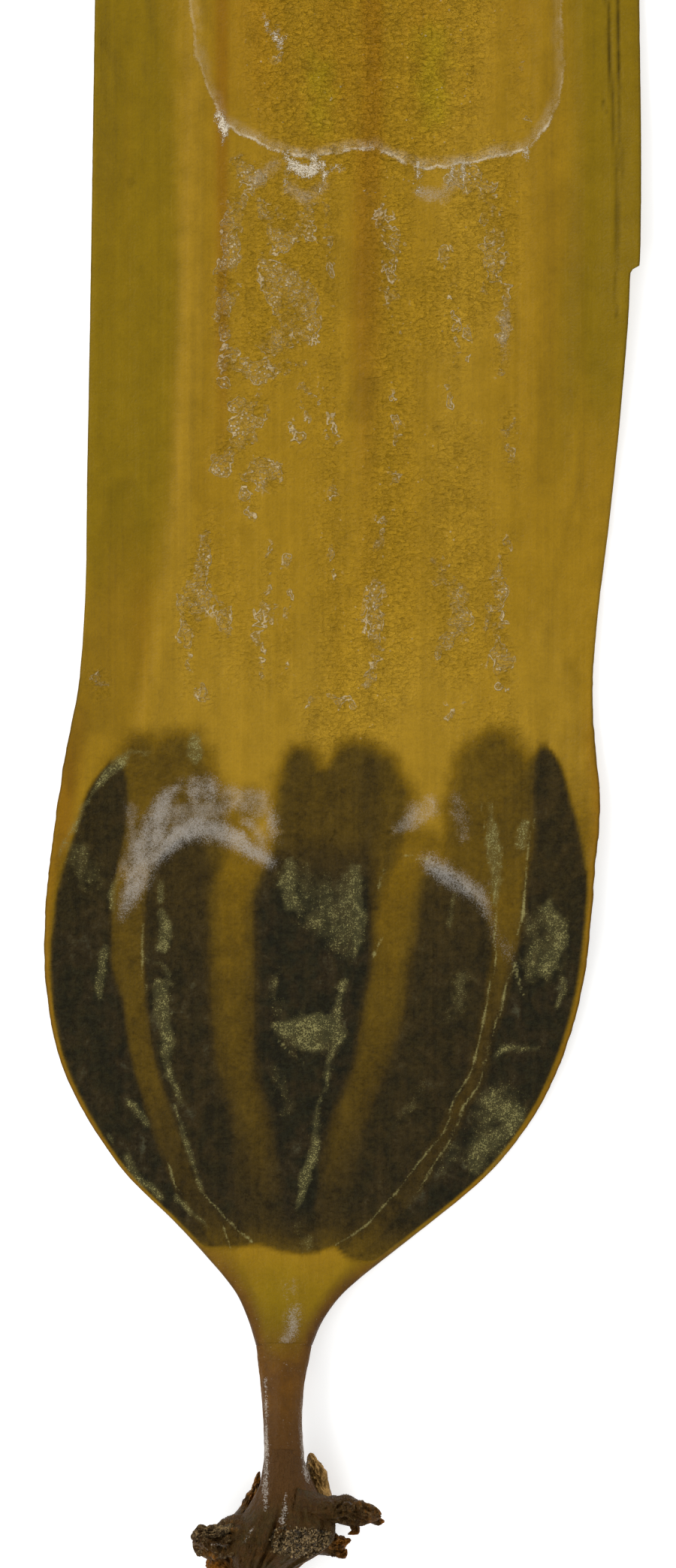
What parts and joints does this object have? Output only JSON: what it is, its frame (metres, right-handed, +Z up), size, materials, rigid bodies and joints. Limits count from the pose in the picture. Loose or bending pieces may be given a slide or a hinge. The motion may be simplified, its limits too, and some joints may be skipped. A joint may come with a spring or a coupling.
{
  "type": "kelp frond",
  "caption": "Dried strap-shaped kelp blade with dark fertile patches at its rounded base, a short stipe and a ragged flared holdfast, lying flat.",
  "frame": {"origin": "bottom centre of the whole frond's box, on the surface it lies on", "axes": "+Y along the blade from the holdfast to the tip, +Z up off the surface, +X to the blade's right seen from above"},
  "size_m": [0.1126, 0.3748, 0.0175],
  "materials": {
    "blade": "ochre to olive-brown leathery tissue with dark fertile patches and dried white crust",
    "stipe": "brown leathery stem with pale rubbed edges",
    "holdfast": "dark brown ragged tissue with grit and dried crust"
  },
  "bodies": {
    "root": {"blade": "blade", "stipe": "stipe", "holdfast": "holdfast", "holdfast_lobe_left": "holdfast", "holdfast_lobe_right": "holdfast", "holdfast_lobe_lower_right": "holdfast", "holdfast_flap_back_left": "holdfast", "holdfast_flap_back_right": "holdfast", "holdfast_flap_lower_left": "holdfast"}
  },
  "joints": []
}
